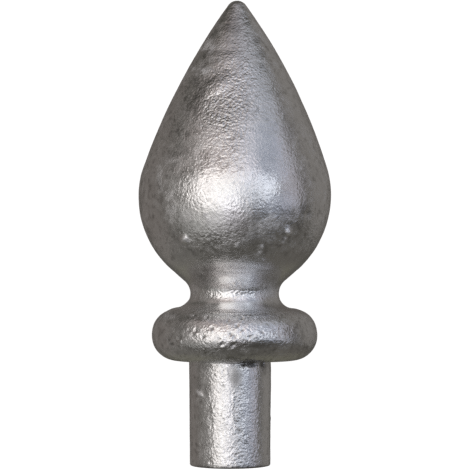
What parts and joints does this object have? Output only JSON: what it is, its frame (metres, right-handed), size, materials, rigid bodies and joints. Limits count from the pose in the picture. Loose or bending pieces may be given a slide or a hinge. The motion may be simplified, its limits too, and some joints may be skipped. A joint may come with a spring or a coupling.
{
  "type": "fence finial",
  "caption": "Cast iron teardrop finial: a pointed bulb on a waisted neck over a rounded collar, with a plain round spigot that drops into a post.",
  "frame": {"origin": "centre of the flat end face of the spigot, on which the finial stands", "axes": "+Z along the spigot towards the finial's tip; +X to the right in the front view, the way the body stands off the spigot's axis; +Y away from the viewer"},
  "size_m": [0.045, 0.045, 0.1086],
  "materials": {
    "cast_iron": "bare blast-cleaned casting skin, satin grey, with a fine sand-cast grain"
  },
  "bodies": {
    "root": {"finial_casting": "cast_iron"}
  },
  "joints": []
}
